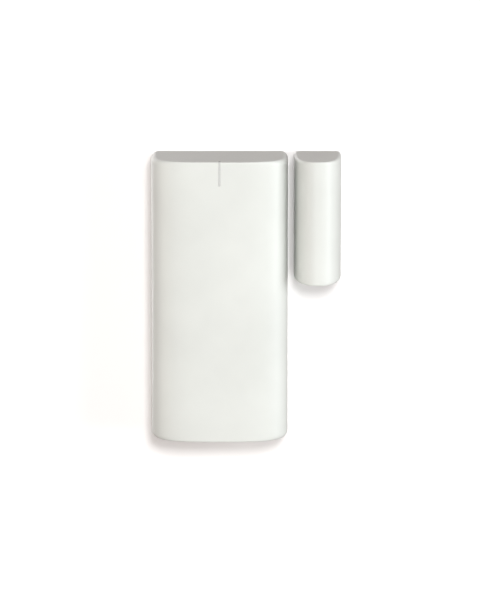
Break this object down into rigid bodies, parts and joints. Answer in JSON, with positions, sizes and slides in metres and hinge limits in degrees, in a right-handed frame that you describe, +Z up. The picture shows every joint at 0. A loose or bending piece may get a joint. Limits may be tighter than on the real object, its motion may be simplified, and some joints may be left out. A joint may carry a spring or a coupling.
{
  "type": "door contact sensor",
  "caption": "Wireless door contact sensor: a domed sensor housing with circuit board, reed switch and cells, and a separate magnet unit beside it.",
  "frame": {"origin": "centre of the sensor's flat wall face", "axes": "+Y into the wall, +Z up along the housings, magnet unit at +X, covers face -Y"},
  "size_m": [0.0605, 0.02, 0.091],
  "materials": {
    "cover_plastic": "fine satin moulding",
    "plate_plastic": "satin moulding",
    "light_guide": "clear moulding",
    "led_resin": "clear resin",
    "board_laminate": "solder mask",
    "zinc_steel": "zinc plated",
    "clear_glass": "clear",
    "nickel_iron": "nickel plated",
    "switch_plastic": "matt moulding",
    "black_plastic": "satin moulding",
    "plunger_plastic": "satin moulding",
    "spring_steel": "drawn wire",
    "black_epoxy": "moulded epoxy",
    "tin_plate": "tinned sheet",
    "copper_wire": "enamelled wire",
    "can_sleeve": "drawn can",
    "chip_ceramic": "fired ceramic",
    "gold_pin": "gold flash",
    "jumper_plastic": "satin moulding",
    "terminal_plastic": "satin moulding",
    "brass": "machined",
    "tray_plastic": "fine texture",
    "cell_wrap": "printed-free film wrap",
    "magnet_ferrite": "sintered ferrite",
    "foam": "open foam"
  },
  "bodies": {
    "sensor_base": {"back_plate": "plate_plastic", "status_led": "led_resin", "circuit_board": "board_laminate", "board_screws": "zinc_steel", "reed_glass": "clear_glass", "reed_fixed_blade": "nickel_iron", "reed_upper_lead": "nickel_iron", "tamper_body": "switch_plastic", "tamper_spring": "spring_steel", "learn_body": "switch_plastic", "microcontroller": "black_epoxy", "crystal": "nickel_iron", "radio_board": "board_laminate", "radio_chip": "black_epoxy", "shield_can": "tin_plate", "antenna_coil": "copper_wire", "storage_capacitor": "can_sleeve", "regulator": "black_epoxy", "chip_parts": "chip_ceramic", "jumper_pins": "gold_pin", "jumper_cap": "jumper_plastic", "terminal_block": "terminal_plastic", "terminal_clamps": "brass", "terminal_screws": "zinc_steel", "battery_tray": "tray_plastic", "cell_left": "cell_wrap", "cell_right": "cell_wrap", "battery_springs": "spring_steel", "positive_plate": "nickel_iron", "negative_plate": "nickel_iron", "link_plate": "nickel_iron"},
    "front_cover": {"front_cover": "cover_plastic", "light_pipe": "light_guide"},
    "tamper_plunger": {"tamper_plunger": "plunger_plastic"},
    "learn_cap": {"learn_cap": "black_plastic"},
    "reed_blade": {"reed_moving_blade": "nickel_iron"},
    "magnet_unit": {"magnet_base": "plate_plastic", "bar_magnet": "magnet_ferrite", "foam_strip": "foam"},
    "magnet_cover": {"magnet_cover": "cover_plastic"}
  },
  "joints": [
    {"name": "magnet_slide", "type": "slide", "parent": "sensor_base", "child": "magnet_unit", "axis": [1, 0, 0], "range_m": [0, 0.05]},
    {"name": "cover_lift", "type": "slide", "parent": "sensor_base", "child": "front_cover", "axis": [0, -1, 0], "range_m": [0, 0.025]},
    {"name": "magnet_cover_lift", "type": "slide", "parent": "magnet_unit", "child": "magnet_cover", "axis": [0, -1, 0], "range_m": [0, 0.022]},
    {"name": "tamper_rise", "type": "slide", "parent": "sensor_base", "child": "tamper_plunger", "axis": [0, -1, 0], "range_m": [0, 0.001]},
    {"name": "learn_press", "type": "slide", "parent": "sensor_base", "child": "learn_cap", "axis": [0, 1, 0], "range_m": [0, 0.0003], "stiffness_N_per_m": 800},
    {"name": "reed_open", "type": "hinge", "parent": "sensor_base", "child": "reed_blade", "pos_m": [0.0164, -0.00964, 0.027], "axis": [-1, 0, 0], "range_deg": [0, 2.4]}
  ],
  "couplings": [
    {"joint": "tamper_rise", "follows": "cover_lift", "ratio": 0.04},
    {"joint": "reed_open", "follows": "magnet_slide", "rad_per_m": 0.8377}
  ]
}
